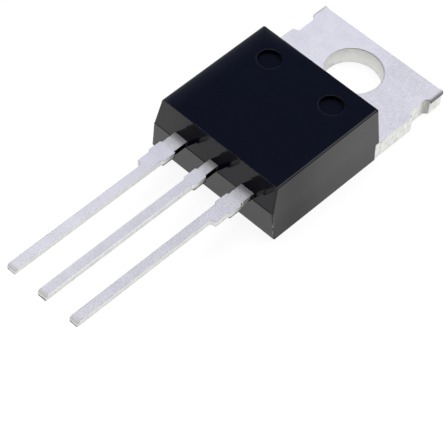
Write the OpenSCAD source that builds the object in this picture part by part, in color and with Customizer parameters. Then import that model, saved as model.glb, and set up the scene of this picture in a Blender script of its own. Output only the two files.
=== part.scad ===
// Three-lead voltage regulator in a plastic power package with a drilled metal tab.
//
// The origin is the centre of the mounting hole on the flat back face. +Y runs from the
// leads to the tab's free end, +Z points out of the moulded body's top face, and the part
// lies on its back face, z = 0. All sizes are in millimetres.

/* [Moulded body] */
// Width across the back face
body_w = 10.2; // [9.6:0.02:10.6]
// Width across the top face
body_top_w = 9.4; // [8.8:0.02:9.6]
// Height above the back face
body_h = 4.27; // [4.2:0.01:4.8]
// Length from the front parting edge to the rear end, on the tab's top face
body_len = 9.55; // [9.3:0.01:10]
// How far the front leans back from the parting edge up to the top face
front_lean = 0.42; // [0.2:0.01:0.6]
// How far the front leans back from the parting edge down to the back face
front_undercut = 0.19; // [0.1:0.01:0.4]
// How far the rear end leans in from the tab's top face up to the body's top face
rear_lean = 0.25; // [0.1:0.01:0.6]
// Radius of the upright edges
body_edge_r = 0.09; // [0.05:0.01:0.3]
// Rounding of the edges round the back face
base_edge_r = 0.04; // [0.02:0.01:0.12]
// Ledge left at the parting plane, where the upper mould half is a little smaller
parting_ledge = 0.04; // [0.01:0.01:0.08]
// Rounding of the top face's edges along the left side and the rear
top_edge_r = 0.15; // [0.04:0.01:0.3]
// Ledge along the right side of the top face, as the mould's insert sits a little to the left
insert_ledge = 0.04; // [0.01:0.01:0.1]
// Height of the insert's raised face above its ledge
insert_rise = 0.09; // [0.04:0.01:0.2]
// How far the edge between the two leans back
insert_lean = 0.06; // [0.01:0.01:0.1]

/* [Ejector marks] */
// Diameter of the round ejector marks in the top face
mark_d = 1.57; // [1:0.01:2]
// Depth of the marks
mark_depth = 0.35; // [0.1:0.01:0.4]
// Distance between the two marks' centres
mark_spacing = 5.07; // [4:0.01:6]
// Distance from the rear edge of the top face to the marks' centres
mark_setback = 1.84; // [1.2:0.01:3]
// Rounding of the marks' rims
mark_rim_r = 0.02; // [0.01:0.01:0.1]

/* [Mounting tab] */
// Thickness of the tab
tab_t = 1.29; // [1.1:0.01:1.4]
// Width of the tab
tab_w = 10.06; // [9.94:0.02:10.4]
// Distance from the hole's centre to the tab's free end
tab_reach = 2.81; // [2.5:0.01:3.2]
// Diameter of the mounting hole
hole_d = 3.75; // [3.5:0.01:3.9]
// Distance from the hole's centre to the body's rear end, on the tab's top face
hole_to_body = 3.19; // [2.8:0.01:3.6]
// Width of the tab between the recesses in its sides
waist_w = 9.28; // [9:0.02:9.6]
// Distance from the hole's centre to the near end of the recesses, towards the free end
waist_start = 0.02; // [0:0.01:0.4]
// Length of the recesses' straight floor
waist_len = 1.39; // [0.6:0.01:1.45]
// Slope length of the recesses' near ends
waist_run_in = 0.18; // [0.1:0.01:0.4]
// Slope length of the recesses' far ends
waist_run_out = 0.27; // [0.1:0.01:0.4]
// Width across the sheared lower part of the two tie-bar stubs at the free end
tip_w = 9.78; // [9.6:0.02:10]
// How far the torn upper part of the stubs stands out over the sheared part
tear_reach = 0.07; // [0.03:0.01:0.1]
// Height of the torn part
tear_h = 0.31; // [0.15:0.01:0.6]
// Radius of the rolled-over upper edge along the tab's sides
tab_roll_r = 0.06; // [0.05:0.01:0.3]
// Radius of the rolled-over upper edge of the tab's free end, between the tie-bar stubs
end_roll_r = 0.1; // [0.05:0.01:0.3]
// Radius of the rolled-over upper rim of the hole
hole_roll_r = 0.08; // [0.02:0.01:0.2]

/* [Inside the body] */
// Width of the tab's inner part, which carries the die
slug_w = 8.2; // [7:0.1:8.4]
// Distance from the front parting edge to the inner part's front end
slug_setback = 2.6; // [2.3:0.05:3]
// Distance that the tab's wide part reaches in under the body's rear end
tab_tuck = 0.4; // [0.2:0.01:0.6]
// Chamfer on the inner part's front corners
slug_chamfer = 0.6; // [0.2:0.05:1]
// Width of the neck that joins the centre lead to the tab
neck_w = 1.8; // [1.2:0.05:2]
// Centre-line radius of the neck's two bends
neck_bend_r = 0.5; // [0.35:0.01:0.6]
// Angle of the neck's slope
neck_slope = 55; // [45:1:65]
// Width of the outer leads' bond posts
post_w = 1.95; // [1.4:0.05:2]
// Length of the bond posts
post_len = 1.2; // [0.8:0.05:1.3]
// Distance from the front parting edge to the bond posts
post_setback = 0.75; // [0.6:0.05:1]
// Outward shift of the bond posts from their leads' centre lines
post_shift = 0.18; // [0.1:0.01:0.3]

/* [Die and bond wires] */
// Width of the silicon die
die_w = 2.6; // [1.8:0.1:3]
// Length of the silicon die
die_len = 2.2; // [1.8:0.1:2.6]
// Thickness of the silicon die
die_t = 0.3; // [0.2:0.01:0.4]
// Distance from the inner part's front end to the die's centre
die_setback = 2.7; // [2.2:0.1:3]
// Thickness of the solder layer under the die
solder_t = 0.08; // [0.04:0.01:0.12]
// Width of the solder fillet that shows round the die
solder_rim = 0.12; // [0.05:0.01:0.2]
// Diameter of the aluminium bond wires
wire_d = 0.25; // [0.2:0.01:0.3]
// Rise of the wires' loops over the straight line between their feet
wire_rise = 0.8; // [0.6:0.05:0.9]
// Sideways distance of the input and output wires' feet from the die's centre
wire_pad_x = 0.75; // [0.5:0.05:0.8]
// Lengthwise distance of every wire's foot from the die's centre
wire_pad_y = 0.6; // [0.5:0.05:0.65]
// Distance from the ground wire's foot on the die to its foot on the tab
ground_reach = 1.6; // [1.5:0.05:1.7]

/* [Leads] */
// Spacing of neighbouring leads
lead_pitch = 2.54; // [2.4:0.01:2.7]
// Height of the leads' underside, which is also the mould's parting plane
lead_z = 2.31; // [2.2:0.01:2.5]
// Thickness of the lead sheet
lead_t = 0.46; // [0.4:0.01:0.55]
// Width of a lead beyond its shoulder
lead_w = 0.64; // [0.5:0.01:0.8]
// Length of the leads outside the body
lead_len = 13.8; // [8:0.02:16]
// Distance from an outer lead's centre line to the outer side of its shoulder
shoulder_reach = 0.69; // [0.6:0.01:0.8]
// Distance from the body to the end of the outer leads' shoulders
shoulder_len = 3.07; // [2.8:0.01:4]
// Radius of the rounded corner at a shoulder's end
shoulder_r = 0.12; // [0.05:0.01:0.15]
// Radius of the hollow between a shoulder's end and the slim lead
shoulder_fillet_r = 0.2; // [0.1:0.01:0.22]
// Distance from the body to the stubs of the sheared-off dam bar
dam_setback = 0.92; // [0.7:0.01:1.2]
// Length of the dam bar's stubs along the lead
dam_len = 1.14; // [0.8:0.01:1.5]
// How far the dam bar's stubs stand out from the lead's sides
dam_stub = 0.13; // [0.09:0.01:0.2]
// Length of the slopes at both ends of the stubs
dam_slope = 0.1; // [0.02:0.01:0.15]
// Extra width on each side beside the body
root_flare = 0.02; // [0:0.01:0.08]
// Length over which the extra width runs out before the stubs
flare_run = 0.15; // [0.05:0.01:0.3]
// Radius of the upper edge that the shear rolled over at a lead's tip
tip_roll_r = 0.18; // [0.05:0.01:0.25]

/* [Hidden] */
$fn = 64;
// Thickness of the flat slices that the body's outline is stretched between
slice = 0.001;
// Overlap of pieces that are joined or cut, so that no face is shared by accident
lap = 0.1;
// Number of steps on a rounded outline corner or a bend
arc_steps = 6;

// Places along the part, from the hole's centre
body_rear = -hole_to_body;
body_front = body_rear - body_len;
top_rear = body_rear - rear_lean;
tab_shoulder = body_rear - tab_tuck;
slug_front = body_front + slug_setback;
post_front = body_front + post_setback;
die_y = slug_front + die_setback;
lead_tip = body_front - lead_len;
waist_end = waist_start + waist_len;

// Heights
lead_top = lead_z + lead_t;
die_z = tab_t + solder_t;
die_top = die_z + die_t;

// Flattened feet of the bond wires
foot_len = 0.5;
foot_w = 1.5 * wire_d;
foot_h = 1.1 * wire_d;

// Points on an arc about [cx, cy], from angle a0 to a1
function arc(cx, cy, r, a0, a1) =
    [for (i = [0 : arc_steps]) let (a = a0 + (a1 - a0) * i / arc_steps) [cx + r * cos(a), cy + r * sin(a)]];

// Points mirrored across the Y axis, in reverse order
function mirrored(points) = [for (i = [len(points) - 1 : -1 : 0]) [-points[i][0], points[i][1]]];

// ---- Moulded body ----

// Half the body's width at height z: each side is one sloping plane
function half_width(z) = (body_w - (body_w - body_top_w) * z / body_h) / 2;

// The body's front and rear at height z; its rear is one sloping plane too
function front_above(z) = body_front + parting_ledge
    + (front_lean - parting_ledge) * (z - lead_z) / (body_h - lead_z);
function front_below(z) = body_front + front_undercut * (lead_z - z) / lead_z;
function rear_at(z) = body_rear - rear_lean * (z - tab_t) / (body_h - tab_t);

// How far the rounding of the left and rear edges pulls the outline in at height z
function rounding_at(z) =
    let (rise = max(0, z + top_edge_r - body_h))
    top_edge_r - sqrt(top_edge_r * top_edge_r - rise * rise);

// Heights of the slices that this rounding is stretched between
rounding_heights = [for (i = [0 : arc_steps])
    body_h - slice - top_edge_r * (1 - sin(90 * i / arc_steps))];

// Thin slice of the body with rounded corners, pulled in by inset all round
module body_slice(z, front, inset = 0) {
    x0 = -half_width(z) + inset + rounding_at(z) + body_edge_r;
    x1 = half_width(z) - inset - body_edge_r;
    y0 = front + inset + body_edge_r;
    y1 = rear_at(z) - inset - rounding_at(z) - body_edge_r;
    for (corner = [[x0, y0], [x1, y0], [x1, y1], [x0, y1]])
        translate([corner[0], corner[1], z])
            cylinder(r = body_edge_r, h = slice, $fn = 32);
}

// Lower mould half: from the back face up to the parting plane
module lower_half() {
    hull() {
        body_slice(0, front_below(0), base_edge_r);
        body_slice(base_edge_r, front_below(base_edge_r));
        body_slice(lead_z - slice, front_below(lead_z));
    }
}

// Upper mould half: from the parting plane up to the top face
module upper_half() {
    hull() {
        body_slice(lead_z - slice, front_above(lead_z));
        for (z = rounding_heights)
            body_slice(z, front_above(z));
    }
}

// What the body lacks beside the insert's face, down to the ledge
module space_over_ledge() {
    translate([body_top_w / 2, body_rear, body_h])
        rotate([90, 0, 0])
            linear_extrude(body_len)
                polygon([[-insert_ledge - insert_lean, lap], [-insert_ledge - insert_lean, 0],
                         [-insert_ledge, -insert_rise], [lap, -insert_rise], [lap, lap]]);
}

// Rounds off the rim of a round opening of diameter d in the plane z = 0
module rounded_rim(d, r) {
    rotate_extrude()
        difference() {
            translate([d / 2 - lap, -r])
                square([lap + r, r + lap]);
            translate([d / 2 + r, -r])
                circle(r);
        }
}

module ejector_marks() {
    for (side = [-1, 1])
        translate([side * mark_spacing / 2, top_rear - mark_setback, body_h]) {
            translate([0, 0, -mark_depth])
                cylinder(d = mark_d, h = mark_depth + lap);
            rounded_rim(mark_d, mark_rim_r);
        }
}

// The compound stops at the tab's shoulders and lies on the tab's top face behind them
module space_for_tab() {
    translate([-body_w, tab_shoulder, -lap])
        cube([2 * body_w, tab_tuck + body_len, tab_t + lap]);
}

module moulded_body() {
    color([0.09, 0.09, 0.11])
        difference() {
            union() {
                lower_half();
                upper_half();
            }
            space_over_ledge();
            ejector_marks();
            space_for_tab();
            tab_with_centre_lead();
            input_lead();
            output_lead();
            die_solder();
            silicon_die();
            input_bond_wire();
            output_bond_wire();
            ground_bond_wire();
        }
}

// ---- Tab and centre lead, stamped in one piece from a strip of two thicknesses ----

// Right side of the tab's visible outline, from the shoulder to the free end
function tab_side() = [
    [tab_w / 2, tab_shoulder],
    [tab_w / 2, waist_start - waist_run_in],
    [waist_w / 2, waist_start],
    [waist_w / 2, waist_end],
    [tip_w / 2, waist_end + waist_run_out],
    [tip_w / 2, tab_reach]
];

// Right side of the inner part, from the front end to the shoulder
function slug_side() = [
    [slug_w / 2 - slug_chamfer, slug_front],
    [slug_w / 2, slug_front + slug_chamfer],
    [slug_w / 2, tab_shoulder]
];

function tab_outline() = concat(slug_side(), tab_side(), mirrored(tab_side()), mirrored(slug_side()));

// Section of what a rolled-over edge of radius r loses, with the edge at the origin
module roll_section(r) {
    difference() {
        translate([-r, -r])
            square(r + lap);
        translate([-r, -r])
            circle(r);
    }
}

// Rolls over the upper edge at height z that runs from p to q, with the metal on its left
module rolled_edge(p, q, r, z = tab_t) {
    translate([p[0], p[1], z])
        rotate([90, 0, atan2(q[1] - p[1], q[0] - p[0]) - 90])
            mirror([0, 0, 1])
                linear_extrude(norm(q - p))
                    roll_section(r);
}

// Rolls over the upper edge round a hollow corner at p
module rolled_corner(p, r) {
    translate([p[0], p[1], tab_t])
        rotate_extrude()
            intersection() {
                mirror([1, 0])
                    roll_section(r);
                translate([0, -r])
                    square([r, r + lap]);
            }
}

module rolled_end() {
    rolled_edge([waist_w / 2, tab_reach], [-waist_w / 2, tab_reach], end_roll_r);
}

module rolled_tab_side() {
    side = tab_side();
    for (i = [0 : 3])
        rolled_edge(side[i], side[i + 1], tab_roll_r);
    for (i = [2, 3])
        rolled_corner(side[i], tab_roll_r);
}

module mounting_hole() {
    translate([0, 0, -lap])
        cylinder(d = hole_d, h = tab_t + 2 * lap);
    translate([0, 0, tab_t])
        rounded_rim(hole_d, hole_roll_r);
}

// Torn upper part of the tie bar's stub on the right
module torn_edge() {
    translate([tip_w / 2, tab_reach, tab_t])
        rotate([90, 0, 0])
            linear_extrude(tab_reach - waist_end - waist_run_out)
                polygon([[-lap, -tear_h], [tear_reach, -tear_h], [tear_reach, -tear_reach], [0, 0], [-lap, 0]]);
}

module tab_plate() {
    difference() {
        linear_extrude(tab_t)
            polygon(tab_outline());
        mounting_hole();
        rolled_end();
        rolled_tab_side();
        mirror([1, 0, 0])
            rolled_tab_side();
    }
    torn_edge();
    mirror([1, 0, 0])
        torn_edge();
}

// Outline of one side of a lead, from inside the body to the end of the dam bar's stub, at
// a distance half_w from the centre line and a little wider up to the stub
function lead_root(half_w) =
    let (dam_start = body_front - dam_setback, dam_end = dam_start - dam_len)
    [
        [half_w + root_flare, post_front],
        [half_w + root_flare, dam_start + flare_run],
        [half_w, dam_start],
        [half_w + dam_stub, dam_start - dam_slope],
        [half_w + dam_stub, dam_end + dam_slope],
        [half_w, dam_end]
    ];

// Rolls over the upper edge of the tip of a lead on the centre line
module rolled_tip() {
    rolled_edge([-lead_w, lead_tip], [lead_w, lead_tip], tip_roll_r, lead_top);
}

// Side view of the neck as [distance from the slug, height] points, on the upper or lower
// surface of the sheet: it leaves the tab level, climbs a slope and levels out at the leads
neck_low = tab_t - lead_t / 2;
neck_high = lead_z + lead_t / 2;
slope_len = (neck_high - neck_low - 2 * neck_bend_r * (1 - cos(neck_slope))) / sin(neck_slope);
neck_run = slope_len * cos(neck_slope) + 2 * neck_bend_r * sin(neck_slope);

function neck_surface(side) = concat(
    arc(0, neck_low + neck_bend_r, neck_bend_r - side * lead_t / 2, -90, neck_slope - 90),
    arc(neck_run, neck_high - neck_bend_r, neck_bend_r + side * lead_t / 2, neck_slope + 90, 90)
);

// Side view of the whole centre lead, from inside the slug to the tip
module centre_lead_profile() {
    reach = slug_front - lead_tip;
    polygon(concat(
        [[-neck_bend_r, neck_low + lead_t / 2]],
        neck_surface(1),
        [[reach, lead_top], [reach, lead_z]],
        [for (i = [2 * arc_steps + 1 : -1 : 0]) neck_surface(-1)[i]],
        [[-neck_bend_r, neck_low - lead_t / 2]]
    ));
}

// Plan of the centre lead, with its wide neck inside the body
module centre_lead_plan() {
    neck_front = slug_front - neck_run;
    side = concat(
        [[neck_w / 2, slug_front + neck_bend_r + lap], [neck_w / 2, neck_front]],
        lead_root(lead_w / 2),
        [[lead_w / 2, lead_tip]]
    );
    polygon(concat(side, mirrored(side)));
}

module centre_lead() {
    difference() {
        intersection() {
            linear_extrude(body_h)
                centre_lead_plan();
            translate([neck_w, slug_front, 0])
                rotate([90, 0, -90])
                    linear_extrude(2 * neck_w)
                        centre_lead_profile();
        }
        rolled_tip();
    }
}

module tab_with_centre_lead() {
    color([0.82, 0.82, 0.86]) {
        tab_plate();
        centre_lead();
    }
}

// ---- Outer leads ----

// Outer side of an outer lead: the shoulder, its rounded end and the hollow beside it
function shoulder_side() =
    let (
        end = body_front - shoulder_len,
        slim = lead_w / 2,
        corner_r = min(shoulder_r, (shoulder_reach - slim) / 2),
        hollow_r = min(shoulder_fillet_r, (shoulder_reach - slim) / 2)
    )
    concat(
        lead_root(shoulder_reach),
        arc(shoulder_reach - corner_r, end + corner_r, corner_r, 0, -90),
        arc(slim + hollow_r, end - hollow_r, hollow_r, 90, 180)
    );

// An outer lead about its own centre line, with its shoulder towards +X
module outer_lead() {
    post_rear = post_front + post_len;
    post_out = post_shift + post_w / 2;
    post_in = post_shift - post_w / 2;
    inner = lead_root(lead_w / 2);
    outer = shoulder_side();
    difference() {
        translate([0, 0, lead_z])
            linear_extrude(lead_t)
                polygon(concat(
                    [[post_in, post_front], [post_in, post_rear], [post_out, post_rear],
                     [post_out, post_front]],
                    outer,
                    [[lead_w / 2, lead_tip], [-lead_w / 2, lead_tip]],
                    mirrored(inner)
                ));
        rolled_tip();
    }
}

module input_lead() {
    color([0.8, 0.8, 0.84])
        translate([-lead_pitch, 0, 0])
            mirror([1, 0, 0])
                outer_lead();
}

module output_lead() {
    color([0.8, 0.8, 0.84])
        translate([lead_pitch, 0, 0])
            outer_lead();
}

// ---- Die, solder and bond wires, sealed inside the body ----

module die_solder() {
    color([0.6, 0.6, 0.62])
        translate([-die_w / 2 - solder_rim, die_y - die_len / 2 - solder_rim, tab_t])
            cube([die_w + 2 * solder_rim, die_len + 2 * solder_rim, solder_t]);
}

module silicon_die() {
    color([0.35, 0.37, 0.42])
        translate([-die_w / 2, die_y - die_len / 2, die_z])
            cube([die_w, die_len, die_t]);
}

// Bond wire between two points on the surfaces that its feet are pressed on
module bond_wire(from, to) {
    run = norm([to[0] - from[0], to[1] - from[1]]);
    climb = to[2] - from[2];
    chord = norm([run, climb]);
    tilt = atan2(climb, run);
    loop_r = (chord * chord / 4 + wire_rise * wire_rise) / (2 * wire_rise);
    half_angle = asin(chord / 2 / loop_r);
    drop = loop_r - wire_rise;
    color([0.85, 0.85, 0.87])
        translate(from)
            rotate([0, 0, atan2(to[1] - from[1], to[0] - from[0])]) {
                translate([-foot_len + wire_d / 2, -foot_w / 2, 0])
                    cube([foot_len, foot_w, foot_h]);
                translate([run - wire_d / 2, -foot_w / 2, climb])
                    cube([foot_len, foot_w, foot_h]);
                translate([run / 2 + drop * sin(tilt), 0, climb / 2 + foot_h / 2 - drop * cos(tilt)])
                    rotate([90, 0, 0])
                        rotate([0, 0, 90 + tilt - half_angle])
                            rotate_extrude(angle = 2 * half_angle)
                                translate([loop_r, 0])
                                    circle(d = wire_d, $fn = 24);
            }
}

// The bond wire from the die to the post on one side, -1 or 1
module post_wire(side) {
    bond_wire([side * wire_pad_x, die_y - wire_pad_y, die_top],
              [side * (lead_pitch + post_shift), post_front + post_len / 2, lead_top]);
}

module input_bond_wire() {
    post_wire(-1);
}

module output_bond_wire() {
    post_wire(1);
}

module ground_bond_wire() {
    bond_wire([0, die_y + wire_pad_y, die_top], [0, die_y + wire_pad_y + ground_reach, tab_t]);
}

moulded_body();
tab_with_centre_lead();
input_lead();
output_lead();
silicon_die();
die_solder();
input_bond_wire();
output_bond_wire();
ground_bond_wire();
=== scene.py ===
import math

import bpy
from mathutils import Matrix, Vector

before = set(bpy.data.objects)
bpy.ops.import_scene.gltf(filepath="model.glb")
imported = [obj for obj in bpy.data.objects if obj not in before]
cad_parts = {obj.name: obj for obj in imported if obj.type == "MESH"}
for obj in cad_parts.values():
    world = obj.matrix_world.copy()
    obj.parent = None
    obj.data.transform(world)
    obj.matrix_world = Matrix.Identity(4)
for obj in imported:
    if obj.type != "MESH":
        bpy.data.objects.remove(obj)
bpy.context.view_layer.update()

MM = 0.001

# ---- Camera, at the photograph's viewing angle ----
CAMERA_AZ = math.radians(39.493)
CAMERA_EL = math.radians(51.542)
CAMERA_ROLL = math.radians(5.569)
CAMERA_TARGET = Vector((3.223, -15.048, 2.0)) * MM
CAMERA_DISTANCE = 137.294 * MM
CAMERA_LENS = 189.70
SENSOR_WIDTH = 36
CLIP_START = 0.01
CLIP_END = 20

# ---- Places on the part, in millimetres ----
BODY_SIDE = 5.1        # half the body's width at the back face
BODY_FRONT = -12.74    # the body's front at the parting plane
BODY_TOP = 4.27
TOP_SIDE = 4.7         # half the width of the body's top face
TOP_FRONT = -12.32     # front and rear edges of the top face
TOP_REAR = -3.44
MARK_X = 2.54          # centre of the right ejector mark, with the left one opposite
MARK_Y = -5.28
MARK_RADIUS = 0.785
MARK_DEPTH = 0.35
LEAD_PITCH = 2.54
LEAD_LOW = 2.31        # the leads' underside, at the body's parting plane
LEAD_TOP = 2.77
STUB_START = -13.66    # stubs of the cut dam bar, from the body outward
STUB_END = -14.8
TIP = -26.54
TAB_TOP = 1.29
HOLE_RADIUS = 1.875
RECESS_SIDE = 4.64     # floor of the recesses in the tab's sides
RECESS_END = 1.41      # far end of that floor
TIE_BAR = 1.68         # near end of the tie bars' stubs
TIE_BAR_SIDE = 4.89    # sheared lower part of the stubs
TEAR_LOW = 0.98        # height where the stubs' torn part begins

# ---- Rounding of the edges ----
EDGE_WIDTHS = (("moulded_body", 0.012), ("tab_with_centre_lead", 0.045),
               ("input_lead", 0.05), ("output_lead", 0.05))
WELD_DISTANCE = 0.0015
FLAT_ANGLE = math.radians(1)
SHARP_ANGLE = math.radians(32)

# ---- Colours, linear RGBA ----
COMPOUND = (0.0008, 0.0010, 0.0019, 1)
COMPOUND_CLOUD = (0.0017, 0.0020, 0.0033, 1)
EDGE_HAZE = (0.0140, 0.0145, 0.0180, 1)
EDGE_WEAR = (0.026, 0.028, 0.024, 1)
# pale chips and painted highlights on the front's edges
CHIP_AND_GLINT = (0.45, 0.45, 0.43, 1)
LEDGE_PALE = (0.10, 0.10, 0.10, 1)
MARK_FLOOR = (0.0068, 0.0082, 0.0170, 1)
MARK_LINE = (0.030, 0.030, 0.038, 1)
# painted highlight on the ejector marks' rim
MARK_RIM_HIGHLIGHT = (0.009, 0.009, 0.012, 1)
# painted highlight along the top's right edge
INSERT_EDGE_HIGHLIGHT = (0.036, 0.037, 0.04, 1)
# painted reflection on the upper front's left end
FRONT_PAINTED_SHEEN = (0.018, 0.018, 0.021, 1)
FRONT_DARK = (0.002, 0.002, 0.0055, 1)
# painted reflection on the right side, lighter toward the rear
SIDE_PAINTED_SHEEN = (0.030, 0.029, 0.032, 1)

TAB_PLATE = (0.85, 0.82, 0.80, 1)
LEAD_PLATE = (0.75, 0.73, 0.715, 1)
TAB_SHEAR_DULL = (0.60, 0.60, 0.575, 1)
TAB_SHEAR_LIGHT = (0.88, 0.88, 0.855, 1)
LEAD_SHEAR_DULL = (0.58, 0.58, 0.565, 1)
LEAD_SHEAR_LIGHT = (0.76, 0.76, 0.74, 1)
RECESS_SHADE = (0.06, 0.06, 0.055, 1)
SIDE_LIGHT = (0.86, 0.86, 0.86, 1)
# painted shade on the top next to the tie bars' stubs
TIE_BAR_RIM_SHADE = (0.2, 0.2, 0.195, 1)
TORN_TIE_BAR = (0.11, 0.11, 0.105, 1)
# torn burr with painted shade at the bottom of the leads' cuts
TORN_LEAD_AND_SHADE = (0.07, 0.07, 0.06, 1)
# compound left near the body, and painted shade between neighbouring leads
COMPOUND_FILM_AND_SHADE = (0.0015, 0.0015, 0.002, 1)
EDGE_LIGHT = (0.66, 0.66, 0.66, 1)
ROLLED_TIP = (0.68, 0.68, 0.70, 1)

SILICON = (0.3, 0.32, 0.38, 1)
SOLDER = (0.6, 0.6, 0.62, 1)
WIRE = (0.85, 0.85, 0.87, 1)

# The shader's usual specular level
SPECULAR = 0.5

# ---- Studio ----
SOFTBOX_PLACE = Vector((-0.11, 0.15, 0.6))
SOFTBOX_AIM = Vector((0, -0.01, 0))
SOFTBOX_SIZE = 0.36
SOFTBOX_POWER = 1.15

FLOOR_HALF = 3.0
FLOOR_Z = -0.00001
FLOOR_WHITE = (0.92, 0.92, 0.92, 1)
FLOOR_DIM = (0.2, 0.2, 0.2, 1)
FLOOR_GLOW = 0.87
FLOOR_GLOW_REFLECTED = 0.91

CEILING_FRONT = (0.03, 0.035, 0.05, 1)
CEILING_BEHIND = (0.12, 0.16, 0.36, 1)
HORIZON = (0.9, 0.9, 0.9, 1)
BACKDROP = (1.1, 1.1, 1.1, 1)
WORLD_FILL = (0.65, 0.65, 0.65, 1)


def add_camera():
    level = Vector((math.cos(CAMERA_AZ), math.sin(CAMERA_AZ), 0))
    away = math.cos(CAMERA_EL)
    back = Vector((math.sin(CAMERA_AZ) * away, -math.cos(CAMERA_AZ) * away, math.sin(CAMERA_EL)))
    right = level * math.cos(CAMERA_ROLL) + back.cross(level) * math.sin(CAMERA_ROLL)
    up = back.cross(right)
    data = bpy.data.cameras.new("camera")
    data.sensor_width = SENSOR_WIDTH
    data.lens = CAMERA_LENS
    data.clip_start = CLIP_START
    data.clip_end = CLIP_END
    camera = bpy.data.objects.new("camera", data)
    rotation = Matrix((right, up, back)).transposed().to_4x4()
    camera.matrix_world = Matrix.Translation(CAMERA_TARGET + back * CAMERA_DISTANCE) @ rotation
    bpy.context.scene.collection.objects.link(camera)
    bpy.context.scene.camera = camera


# ---- Node helpers ----
class Nodes:
    """Builds one node tree with short calls. A value is a number, a colour or a socket."""

    def __init__(self, tree):
        self.tree = tree
        tree.nodes.clear()

    def add(self, kind, **settings):
        node = self.tree.nodes.new("ShaderNode" + kind)
        for name, value in settings.items():
            setattr(node, name, value)
        return node

    def link(self, source, target):
        self.tree.links.new(source, target)

    def feed(self, node, **inputs):
        """Sets or links a node's inputs, by name with _ for a space, or by number as in i0."""
        for name, value in inputs.items():
            numbered = name[0] == "i" and name[1:].isdigit()
            socket = node.inputs[int(name[1:]) if numbered else name.replace("_", " ")]
            if hasattr(value, "is_output"):
                self.link(value, socket)
            else:
                socket.default_value = value

    def math(self, operation, a, b=None):
        node = self.add("Math", operation=operation)
        self.feed(node, i0=a)
        if b is not None:
            self.feed(node, i1=b)
        return node.outputs[0]

    def plus(self, a, b):
        return self.math("ADD", a, b)

    def minus(self, a, b):
        return self.math("SUBTRACT", a, b)

    def size(self, value):
        return self.math("ABSOLUTE", value)

    def either(self, a, b):
        return self.math("MAXIMUM", a, b)

    def times(self, first, *factors):
        for factor in factors:
            first = self.math("MULTIPLY", first, factor)
        return first

    def radius(self, x, y):
        return self.math("SQRT", self.plus(self.times(x, x), self.times(y, y)))

    def ramp(self, value, low, high, to_low=0.0, to_high=1.0, smooth=False):
        kind = "SMOOTHSTEP" if smooth else "LINEAR"
        node = self.add("MapRange", interpolation_type=kind, clamp=True)
        self.feed(node, Value=value, From_Min=low, From_Max=high, To_Min=to_low, To_Max=to_high)
        return node.outputs[0]

    def fade(self, value, low, high, top=1.0, smooth=False):
        """Falls from top to 0 between low and high."""
        return self.ramp(value, low, high, top, 0.0, smooth)

    def band(self, value, rise, fall):
        """Rises to 1 over one interval and falls back to 0 over the other."""
        return self.times(self.ramp(value, *rise), self.fade(value, *fall))

    def noise(self, vector, scale, detail=3.0, rough=0.5):
        node = self.add("TexNoise")
        self.feed(node, Vector=vector, Scale=scale, Detail=detail, Roughness=rough)
        return node.outputs["Fac"]

    def mix(self, factor, a, b):
        node = self.add("Mix", data_type="RGBA", clamp_factor=True)
        self.feed(node, i0=factor, i6=a, i7=b)
        return node.outputs[2]

    def mix_value(self, factor, a, b):
        node = self.add("Mix", data_type="FLOAT", clamp_factor=True)
        self.feed(node, i0=factor, i2=a, i3=b)
        return node.outputs[0]

    def paint(self, colour, *layers):
        """Lays colours over the first one, each through its own mask."""
        for mask, layer in layers:
            colour = self.mix(mask, colour, layer)
        return colour

    def scale(self, vector, factor):
        node = self.add("VectorMath", operation="SCALE")
        self.feed(node, i0=vector, Scale=factor)
        return node.outputs[0]

    def axes(self, vector):
        node = self.add("SeparateXYZ")
        self.link(vector, node.inputs[0])
        return tuple(node.outputs)

    def facing(self):
        """The three components of the surface's normal."""
        return self.axes(self.add("NewGeometry").outputs["Normal"])

    def millimetres(self, scale=(1, 1, 1)):
        """The object's own coordinates in millimetres, stretched by scale."""
        place = self.add("TexCoord").outputs["Object"]
        node = self.add("Mapping")
        self.feed(node, Vector=place, Scale=tuple(s / MM for s in scale))
        return node.outputs[0]

    def bump(self, height, strength, distance):
        node = self.add("Bump")
        self.feed(node, Height=height, Strength=strength, Distance=distance * MM)
        return node.outputs[0]


def new_material(name):
    material = bpy.data.materials.new(name)
    material.use_nodes = True
    return material, Nodes(material.node_tree)


def principled(n, **inputs):
    shader = n.add("BsdfPrincipled")
    n.feed(shader, **inputs)
    n.link(shader.outputs[0], n.add("OutputMaterial").inputs["Surface"])


# ---- Moulding compound ----
def top_edge_wear(n, spot, width):
    """1 at the left and rear edges of the body's top face, fading to 0 over the given width,
    which shrinks toward the right along the rear edge."""
    x, y, z = spot
    left = n.plus(x, TOP_SIDE)
    rear = n.plus(n.minus(TOP_REAR, y), n.ramp(x, -4.0, 1.0, 0.0, 0.8 * width))
    near = n.fade(n.math("MINIMUM", left, rear), 0.1, width)
    return n.times(near, near, n.ramp(z, BODY_TOP - 0.2, BODY_TOP - 0.1))


def chips_and_edge_glints(n, spot, place):
    """Small pale spots on the front's upright edges below the parting plane, and faint ones
    on its top edge: chips, and painted highlights where these edges catch the light."""
    x, y, z = spot
    # pale spots: chips, and painted highlights on the edges
    chip_and_glint_spots = n.ramp(n.noise(place, 7.0, 4.0, 0.7), 0.42, 0.62)
    upright = n.times(n.ramp(n.size(x), BODY_SIDE - 0.2, BODY_SIDE - 0.16),
                      n.fade(y, BODY_FRONT + 0.12, BODY_FRONT + 0.2),
                      n.fade(z, LEAD_LOW - 0.1, LEAD_LOW, 0.8))
    top = n.times(n.fade(y, TOP_FRONT, TOP_FRONT + 0.06),
                  n.ramp(z, BODY_TOP - 0.05, BODY_TOP - 0.02, 0.0, 0.16))
    return n.times(chip_and_glint_spots, n.either(upright, top))


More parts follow.
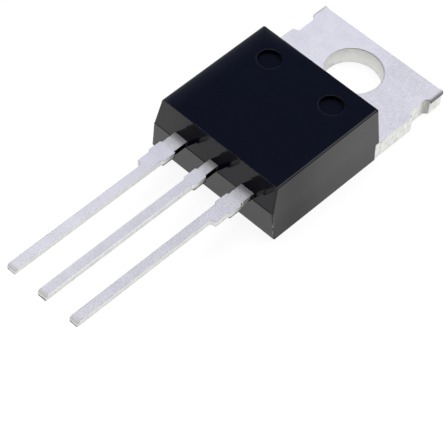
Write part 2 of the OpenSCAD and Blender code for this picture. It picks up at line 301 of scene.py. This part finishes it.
def pale_parting_ledge(n, spot, place):
    """Patchy pale tone on the upward faces of the narrow ledge along the body's parting plane."""
    up = n.ramp(n.facing()[2], 0.25, 0.45)
    near = n.band(spot[2], (LEAD_LOW - 0.08, LEAD_LOW - 0.06), (LEAD_LOW + 0.06, LEAD_LOW + 0.08))
    return n.times(up, near, n.ramp(n.noise(place, 1.2, 3.0), 0.35, 0.65, 0.35, 1.0))


def insert_edge_highlight(n, spot, cloud):
    """Painted highlight on the edge of the mould insert's face, along the top's right side."""
    x, _, z = spot
    edge = n.times(n.band(x, (TOP_SIDE - 0.12, TOP_SIDE - 0.08), (TOP_SIDE - 0.02, TOP_SIDE)),
                   n.ramp(z, BODY_TOP - 0.09, BODY_TOP - 0.07))
    return n.times(edge, n.ramp(cloud, 0.35, 0.65, 0.7, 1.0))


def ejector_marks(n, spot):
    """Masks of the two ejector marks: their matt floor, a pale line half way down the wall's
    left and right parts in the photograph, and a painted highlight on the front part of the rim."""
    x, y, z = spot
    x = n.times(n.minus(n.size(x), MARK_X), n.math("SIGN", x))
    y = n.minus(y, MARK_Y)
    r = n.radius(x, y)
    inside = n.fade(r, MARK_RADIUS + 0.055, MARK_RADIUS + 0.115)
    floor = n.times(inside, n.fade(z, BODY_TOP - MARK_DEPTH + 0.01, BODY_TOP - MARK_DEPTH + 0.03))
    off_line = n.size(n.plus(z, 0.2 - BODY_TOP))
    # distance from the mark's middle along the photograph's horizontal
    across = n.size(n.plus(n.times(x, 0.771), n.times(y, 0.637)))
    line = n.times(inside, n.fade(off_line, 0.02, 0.04), n.ramp(across, 0.4, 0.65))
    # painted highlight on the front part of the rim
    off_rim = n.size(n.minus(r, MARK_RADIUS + 0.03))
    rim_highlight = n.times(n.fade(off_rim, 0.02, 0.06), n.fade(y, -0.4, 0.2),
                  n.ramp(z, BODY_TOP - 0.05, BODY_TOP - 0.03))
    return floor, line, rim_highlight


def outer_faces(n, spot):
    """Masks of the front above the parting plane and of the right side."""
    x, y, _ = spot
    face_x, face_y, face_z = n.facing()
    upper = n.times(n.fade(face_y, -0.7, -0.5), n.ramp(face_z, 0.02, 0.06),
                    n.fade(y, TOP_FRONT + 0.05, TOP_FRONT + 0.15))
    right = n.times(n.ramp(face_x, 0.7, 0.8), n.ramp(x, TOP_SIDE - 0.2, TOP_SIDE - 0.1))
    return upper, right


def shade_and_dullness(n, spot, place, upper, right, mark_floor):
    """How far the specular level lies below the usual one: painted shade in the reflections at
    the right side's front end and foot and on the upper front away from its left end, and
    dullness in nicks along the top's rear edge and on the ejector marks' floor."""
    x, y, z = spot
    # painted shade: reflections dimmed at the right side's front end and foot and on the upper
    # front
    front_end = n.fade(n.size(n.plus(y, 10.9)), 0.3, 2.4, 0.15)
    foot = n.fade(z, 1.2, 2.2, 0.08)
    faces = n.plus(n.times(right, n.plus(front_end, foot)),
                   n.times(upper, n.ramp(x, -3.0, -1.0, 0.0, 0.1)))
    nicks = n.times(n.ramp(y, TOP_REAR - 0.22, TOP_REAR - 0.16),
                    n.ramp(z, BODY_TOP - 0.3, BODY_TOP - 0.2),
                    n.ramp(n.noise(place, 2.2, 4.0, 0.7), 0.42, 0.58, 0.1, 0.45))
    return n.plus(faces, n.either(nicks, n.times(mark_floor, SPECULAR)))


def moulded_plastic():
    material, n = new_material("black_moulding_compound")
    place = n.millimetres()
    spot = x, y, _ = n.axes(place)
    grain = n.noise(place, 9.0, 4.0, 0.6)
    cloud = n.noise(place, 0.7, 2.0)
    speck = n.ramp(n.noise(place, 16.0, 2.0), 0.42, 0.62, 0.5, 1.0)
    wear = top_edge_wear(n, spot, 0.45)
    mark_floor, mark_line, mark_rim_highlight = ejector_marks(n, spot)
    upper, right = outer_faces(n, spot)
    # painted reflection: the upper front is lighter toward its left end, and dark bluish further
    # right
    painted_front_sheen = n.mix(n.ramp(x, -4.0, -1.8), FRONT_PAINTED_SHEEN, FRONT_DARK)
    colour = n.paint(n.mix(cloud, COMPOUND, COMPOUND_CLOUD),
                     (top_edge_wear(n, spot, 1.4), EDGE_HAZE),
                     (n.times(wear, speck), EDGE_WEAR),
                     (chips_and_edge_glints(n, spot, place), CHIP_AND_GLINT),
                     (pale_parting_ledge(n, spot, place), LEDGE_PALE),
                     (mark_floor, MARK_FLOOR),
                     (mark_line, MARK_LINE),
                     (mark_rim_highlight, MARK_RIM_HIGHLIGHT),
                     (insert_edge_highlight(n, spot, cloud), INSERT_EDGE_HIGHLIGHT),
                     (upper, painted_front_sheen),
                     # painted reflection: the right side is lighter toward the rear
                     (n.times(right, n.ramp(y, -9.5, -5.0)), SIDE_PAINTED_SHEEN))
    dull = shade_and_dullness(n, spot, place, upper, right, mark_floor)
    principled(n, Base_Color=colour, IOR=1.4,
               Roughness=n.plus(n.ramp(grain, 0.3, 0.7, 0.07, 0.12), n.times(wear, 0.25)),
               Specular_IOR_Level=n.minus(SPECULAR, dull),
               Normal=n.bump(grain, 0.25, 0.004))
    return material


# ---- Tin-plated metal ----
def metal_speckle(n, place, spot):
    """Factor about 1 for the plating's clouds and fine speckle. Toward the left the metal is
    lighter and has less speckle."""
    x, y, _ = spot
    cloud = n.times(n.ramp(n.noise(place, 0.8, 3.0), 0.3, 0.7, 0.96, 1.04),
                    n.ramp(x, -2.0, 2.0, 1.03, 0.94))
    speck = n.times(n.ramp(n.noise(place, 9.0, 4.0, 0.75), 0.3, 0.7, -0.13, 0.13),
                    n.ramp(y, BODY_FRONT, BODY_FRONT + 0.5, 1.3, 1.0))
    return n.plus(cloud, n.times(speck, n.ramp(x, -2.0, 2.0, 0.45, 1.0)))


def plated_top(n, place, spot, lead):
    """Colour of the faces that look up or down. The leads' darken toward the body, painted shade
    where the body keeps light off them, with fine scratches along their roots, and the centre and
    right leads' are a little dull far out."""
    x, y, _ = spot
    # painted shade: the leads darken toward the body
    root = n.ramp(y, BODY_FRONT - 1.1, BODY_FRONT - 0.1, 1.0, n.mix_value(lead, 1.0, 0.62))
    scratch = n.ramp(n.noise(n.millimetres((1.5, 16.0, 1.5)), 1.0, 3.0, 0.6),
                     0.35, 0.65, -0.12, 0.12)
    scratch = n.times(scratch, lead, n.ramp(y, STUB_START - 0.3, STUB_START + 0.2))
    far_out = n.times(n.ramp(x, -1.5, 0.0), n.fade(y, -18.0, -15.5, 0.06))
    colour = n.mix(lead, TAB_PLATE, LEAD_PLATE)
    for factor in (metal_speckle(n, place, spot), root, n.plus(1.0, scratch),
                   n.minus(1.0, far_out)):
        colour = n.scale(colour, factor)
    return colour


def sheared_side(n, place, spot, lead, streak, bore):
    """Colour of the faces that a punch sheared, with fine upright lines. The hole's wall is
    smoother and darkens upward."""
    dull = n.mix(lead, TAB_SHEAR_DULL, LEAD_SHEAR_DULL)
    light = n.mix(lead, TAB_SHEAR_LIGHT, LEAD_SHEAR_LIGHT)
    smooth = n.ramp(n.noise(place, 2.5, 3.0), 0.2, 0.8, 0.3, 0.6)
    colour = n.mix(n.mix_value(bore, streak, smooth), dull, light)
    shade = n.times(bore, n.ramp(spot[2], 0.4, TAB_TOP - 0.05, 0.0, 0.26))
    return n.scale(colour, n.minus(1.0, shade))


def recess_shade(n, y, out):
    """Shade in the far part of the recesses in the tab's sides."""
    to_stub = (TIE_BAR - 0.03, TIE_BAR)
    hollow = n.band(y, (0.95, RECESS_END), to_stub)
    slope = n.band(y, (RECESS_END - 0.02, RECESS_END + 0.06), to_stub)
    return n.times(n.ramp(out, RECESS_SIDE - 0.19, RECESS_SIDE - 0.14),
                   n.either(n.times(hollow, 0.42), n.times(slope, 0.55)))


def torn_metal(n, place, spot, out):
    """Masks of the dark torn metal: the upper part of the tie bars' stubs, darker on the right,
    and the bottom of the cuts at the leads' dam bar stubs and tips, a torn burr with painted
    shade under its edge."""
    x, y, z = spot
    ragged = n.plus(z, n.ramp(n.noise(place, 6.0, 2.0), 0.3, 0.7, -0.04, 0.04))
    tie_bar = n.times(n.ramp(y, TIE_BAR - 0.05, TIE_BAR),
                      n.ramp(out, TIE_BAR_SIDE - 0.03, TIE_BAR_SIDE + 0.01),
                      n.ramp(ragged, TEAR_LOW - 0.08, TEAR_LOW),
                      n.ramp(z, TAB_TOP - 0.08, TAB_TOP - 0.02, 1.0, 0.55),
                      n.ramp(x, -1.0, 1.0, 0.35, 1.0))
    dam_stub = n.band(y, (STUB_END, STUB_END + 0.08), (STUB_START - 0.08, STUB_START))
    # torn burr with painted shade under the edge
    lead_cut_and_shade = n.times(n.either(dam_stub, n.fade(y, TIP, TIP + 0.02)),
                       n.fade(ragged, LEAD_LOW + 0.13, LEAD_LOW + 0.17, 0.9))
    return tie_bar, lead_cut_and_shade


def compound_film_and_shade(n, place, spot, lead, across, gap_sides):
    """1 where the leads are painted near black: moulding compound left close to the body, and
    painted shade up to the dam bar's stubs on the sides that face a neighbouring lead. Its end is
    ragged and reaches further low down."""
    x, y, z = spot
    root = n.plus(y, n.ramp(n.noise(place, 9.0, 3.0, 0.7), 0.3, 0.7, -0.2, 0.2))
    root = n.plus(root, n.fade(z, LEAD_LOW, LEAD_LOW + 0.3, 0.3))
    film_and_shade = n.times(n.ramp(root, BODY_FRONT - 0.2, BODY_FRONT - 0.15), lead)
    offset = n.minus(x, across)
    # painted shade on the sides that face a neighbouring lead
    for toward in gap_sides:
        gap_shade = n.times(n.ramp(n.times(offset, toward), 0.1, 0.15),
                      n.ramp(root, STUB_START - 0.06, STUB_START - 0.02), lead)
        film_and_shade = n.either(film_and_shade, gap_shade)
    return film_and_shade


def tinned_metal(name, across, gap_sides):
    """Tin plate on the tab and the lead about x = across, whose sides toward gap_sides face a
    neighbouring lead."""
    material, n = new_material(name)
    place = n.millimetres()
    spot = x, y, z = n.axes(place)
    out = n.size(x)
    up = n.facing()[2]
    # 1 where the surface faces up or down, 0 where it faces sideways
    flat = n.ramp(n.size(up), 0.55, 0.85, smooth=True)
    upright = n.minus(1.0, flat)
    lead = n.fade(y, BODY_FRONT, BODY_FRONT + 0.5)
    bore = n.times(n.fade(n.radius(x, y), HOLE_RADIUS + 0.125, HOLE_RADIUS + 0.225),
                   n.minus(1.0, lead))
    grain = n.noise(place, 14.0, 4.0, 0.6)
    streak = n.ramp(n.noise(n.millimetres((4.0, 4.0, 2.0)), 1.0, 4.0, 0.7), 0.3, 0.7)
    film_and_shade = n.times(compound_film_and_shade(n, place, spot, lead, across, gap_sides), upright)
    outside_film_and_shade = n.minus(1.0, film_and_shade)

    # light on the upper part of the leads' sides, on their rounded edges and on the hole's rim
    strip = n.times(n.ramp(z, LEAD_TOP - 0.11, LEAD_TOP - 0.08),
                    n.fade(y, STUB_END, STUB_START), n.ramp(y, TIP + 0.05, TIP + 0.3))
    hole_rim = n.times(bore, n.ramp(z, TAB_TOP - 0.05, TAB_TOP - 0.04))
    edge_light = n.either(n.times(strip, n.ramp(up, 0.1, 0.2), 0.8), n.times(hole_rim, 0.85))
    edge_light = n.times(edge_light, upright)
    rolled_tip = n.times(n.fade(y, TIP + 0.16, TIP + 0.24),
                         n.ramp(z, LEAD_TOP - 0.19, LEAD_TOP - 0.16))

    side = n.paint(sheared_side(n, place, spot, lead, streak, bore),
                   (recess_shade(n, y, out), RECESS_SHADE),
                   (strip, SIDE_LIGHT))
    # painted shade: a grey band on the top faces where the tie bars' stubs roll off
    tie_bar_rim_shade = n.times(n.ramp(y, TIE_BAR - 0.1, TIE_BAR + 0.1),
                          n.ramp(out, TIE_BAR_SIDE - 0.13, TIE_BAR_SIDE + 0.01, 0.0, 0.45))
    torn_tie_bar, torn_lead_and_shade = torn_metal(n, place, spot, out)
    colour = n.paint(n.mix(flat, side, plated_top(n, place, spot, lead)),
                     (n.times(tie_bar_rim_shade, flat), TIE_BAR_RIM_SHADE),
                     (torn_tie_bar, TORN_TIE_BAR),
                     (torn_lead_and_shade, TORN_LEAD_AND_SHADE),
                     (film_and_shade, COMPOUND_FILM_AND_SHADE),
                     (edge_light, EDGE_LIGHT),
                     (rolled_tip, ROLLED_TIP))
    metallic = n.mix_value(n.either(rolled_tip, edge_light), n.mix_value(flat, 0.85, 0.96), 0.1)
    rough = n.mix_value(flat, n.mix_value(streak, 0.38, 0.26),
                        n.ramp(grain, 0.3, 0.7, 0.42, 0.55))
    principled(n, Base_Color=colour, Metallic=n.times(metallic, outside_film_and_shade),
               Roughness=n.mix_value(rolled_tip, rough, 0.7),
               Specular_IOR_Level=n.times(outside_film_and_shade, SPECULAR),
               Normal=n.bump(n.mix_value(flat, streak, grain), 0.3, 0.01))
    return material


def plain_material(name, colour, metallic, rough):
    """A material for the hidden pieces, with a slightly uneven roughness."""
    material, n = new_material(name)
    grain = n.noise(n.millimetres(), 20.0)
    principled(n, Base_Color=colour, Metallic=metallic,
               Roughness=n.ramp(grain, 0.3, 0.7, rough * 0.85, rough * 1.15))
    return material


# ---- Pieces ----
def set_material(node, material):
    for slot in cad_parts[node].material_slots:
        slot.material = material


def round_edges(node, width):
    """Welds the split edges, joins flat facets and rounds the sharp edges off."""
    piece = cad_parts[node]
    weld = piece.modifiers.new("weld", "WELD")
    weld.merge_threshold = WELD_DISTANCE * MM
    join = piece.modifiers.new("join_flats", "DECIMATE")
    join.decimate_type = "DISSOLVE"
    join.angle_limit = FLAT_ANGLE
    bevel = piece.modifiers.new("round_edges", "BEVEL")
    bevel.width = width * MM
    bevel.segments = 2
    bevel.limit_method = "ANGLE"
    bevel.angle_limit = SHARP_ANGLE
    bevel.harden_normals = True
    normals = piece.modifiers.new("even_normals", "WEIGHTED_NORMAL")
    normals.keep_sharp = True


# ---- Light, floor and surroundings ----
def add_softbox():
    data = bpy.data.lights.new("overhead_softbox", "AREA")
    data.shape = "DISK"
    data.size = SOFTBOX_SIZE
    data.energy = SOFTBOX_POWER
    lamp = bpy.data.objects.new("overhead_softbox", data)
    lamp.location = SOFTBOX_PLACE
    lamp.rotation_euler = (SOFTBOX_PLACE - SOFTBOX_AIM).to_track_quat("Z", "Y").to_euler()
    bpy.context.scene.collection.objects.link(lamp)


def seen_directly(n):
    """1 for rays from the camera and for those that a gloss or glass sends on."""
    path = n.add("LightPath")
    seen = n.either(path.outputs["Is Camera Ray"], path.outputs["Is Glossy Ray"])
    return n.either(seen, path.outputs["Is Transmission Ray"])


def diffuse(n, colour):
    shader = n.add("BsdfDiffuse")
    n.feed(shader, Color=colour)
    return shader.outputs[0]


def add_floor():
    """A floor that looks evenly white when seen directly, and lights the part as plain white."""
    mesh = bpy.data.meshes.new("floor")
    corners = [(x * FLOOR_HALF, y * FLOOR_HALF, FLOOR_Z)
               for x, y in ((-1, -1), (1, -1), (1, 1), (-1, 1))]
    mesh.from_pydata(corners, [], [(0, 1, 2, 3)])
    floor = bpy.data.objects.new("floor", mesh)
    bpy.context.scene.collection.objects.link(floor)
    material, n = new_material("floor_white")
    reflected = n.add("LightPath").outputs["Is Glossy Ray"]
    glow = n.add("Emission")
    n.feed(glow, Color=(1, 1, 1, 1),
           Strength=n.mix_value(reflected, FLOOR_GLOW, FLOOR_GLOW_REFLECTED))
    lit = n.add("AddShader")
    n.feed(lit, i0=diffuse(n, FLOOR_DIM), i1=glow.outputs[0])
    mix = n.add("MixShader")
    n.feed(mix, i0=seen_directly(n), i1=diffuse(n, FLOOR_WHITE), i2=lit.outputs[0])
    n.link(mix.outputs[0], n.add("OutputMaterial").inputs["Surface"])
    mesh.materials.append(material)


def add_world():
    """A white backdrop behind the object, a low pale horizon all round and a dark ceiling for
    direct views and reflections, and an even gray fill for all other rays."""
    world = bpy.data.worlds.new("studio")
    bpy.context.scene.world = world
    world.use_nodes = True
    n = Nodes(world.node_tree)
    x, y, z = n.axes(n.add("TexCoord").outputs["Generated"])
    behind = n.ramp(y, -0.2, 0.3, smooth=True)
    # the backdrop reaches higher toward the right
    edge = n.minus(z, n.times(x, 0.4))
    backdrop = n.times(n.fade(edge, 0.48, 0.72, smooth=True), behind)
    horizon = n.fade(z, 0.12, 0.45, smooth=True)
    colour = n.paint(n.mix(behind, CEILING_FRONT, CEILING_BEHIND),
                     (horizon, HORIZON),
                     (backdrop, BACKDROP))
    background = n.add("Background")
    n.feed(background, Color=n.mix(seen_directly(n), WORLD_FILL, colour), Strength=1.0)
    n.link(background.outputs[0], n.add("OutputWorld").inputs["Surface"])


add_camera()
add_floor()
add_world()
add_softbox()

set_material("moulded_body", moulded_plastic())
set_material("tab_with_centre_lead", tinned_metal("tin_plated_tab", 0.0, (-1, 1)))
set_material("input_lead", tinned_metal("tin_plated_input_lead", -LEAD_PITCH, (1,)))
set_material("output_lead", tinned_metal("tin_plated_output_lead", LEAD_PITCH, (-1,)))
for node, width in EDGE_WIDTHS:
    round_edges(node, width)
set_material("silicon_die", plain_material("polished_silicon", SILICON, 0.0, 0.15))
set_material("die_solder", plain_material("die_solder_grey", SOLDER, 1.0, 0.35))
for node in ("input_bond_wire", "output_bond_wire", "ground_bond_wire"):
    set_material(node, plain_material(node + "_metal", WIRE, 1.0, 0.25))

bpy.context.scene.view_settings.view_transform = "Standard"
